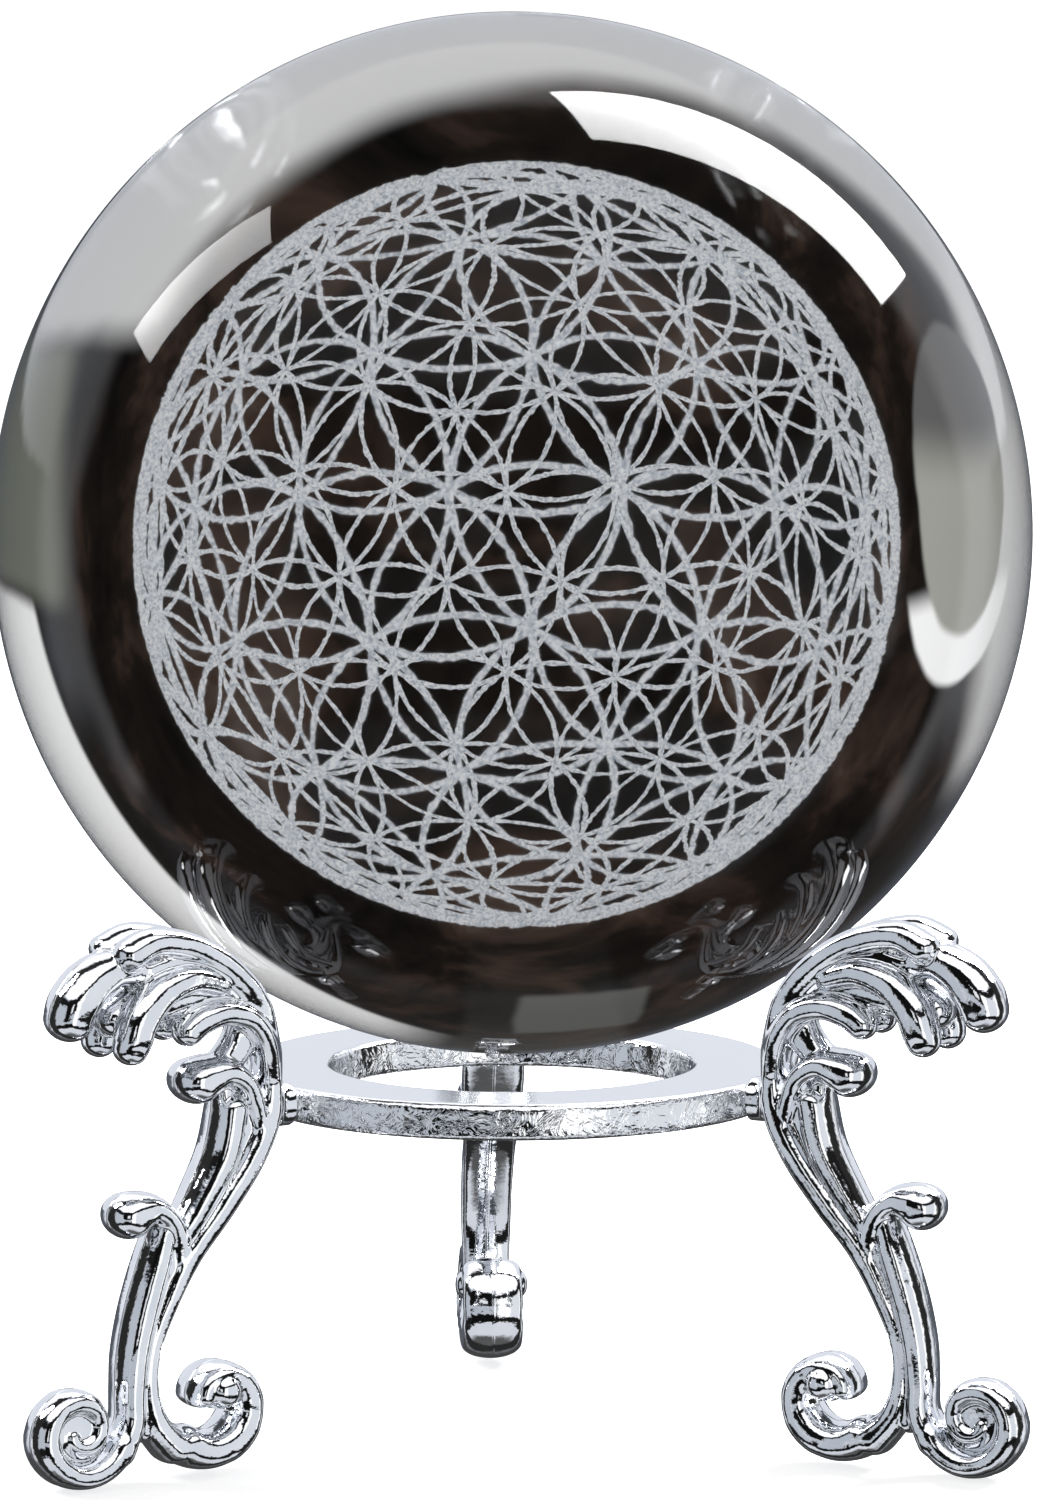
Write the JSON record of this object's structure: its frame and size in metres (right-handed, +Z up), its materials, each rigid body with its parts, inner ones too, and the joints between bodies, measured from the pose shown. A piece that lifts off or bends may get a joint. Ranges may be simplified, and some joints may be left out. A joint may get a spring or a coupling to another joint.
{
  "type": "crystal ball on stand",
  "caption": "Clear glass crystal ball with a sphere of interlaced circles engraved inside, resting on a flat ring between chrome scroll legs.",
  "frame": {"origin": "on the ground, on the upright axis of the ring and of the ball", "axes": "+Z up along the ring's axis, +Y towards the rear leg"},
  "size_m": [0.08, 0.0835, 0.1102],
  "materials": {
    "clear_glass": "polished clear crystal glass",
    "engraved_lines": "frosted white laser dots inside the glass",
    "chrome_cast": "bright chrome plate on a smooth casting",
    "chrome_ring": "bright chrome plate, flat polished top and rough cast edge",
    "stud_steel": "plain steel thread"
  },
  "bodies": {
    "stand": {"seat_ring": "chrome_ring", "leg_left": "chrome_cast", "leg_right": "chrome_cast", "leg_rear": "chrome_cast", "stud_left": "stud_steel", "stud_right": "stud_steel", "stud_rear": "stud_steel"},
    "ball": {"crystal_ball": "clear_glass"}
  },
  "joints": [
    {"name": "ball_lift", "type": "slide", "parent": "stand", "child": "ball", "axis": [0, 0, 1], "range_m": [0, 0.06]}
  ]
}
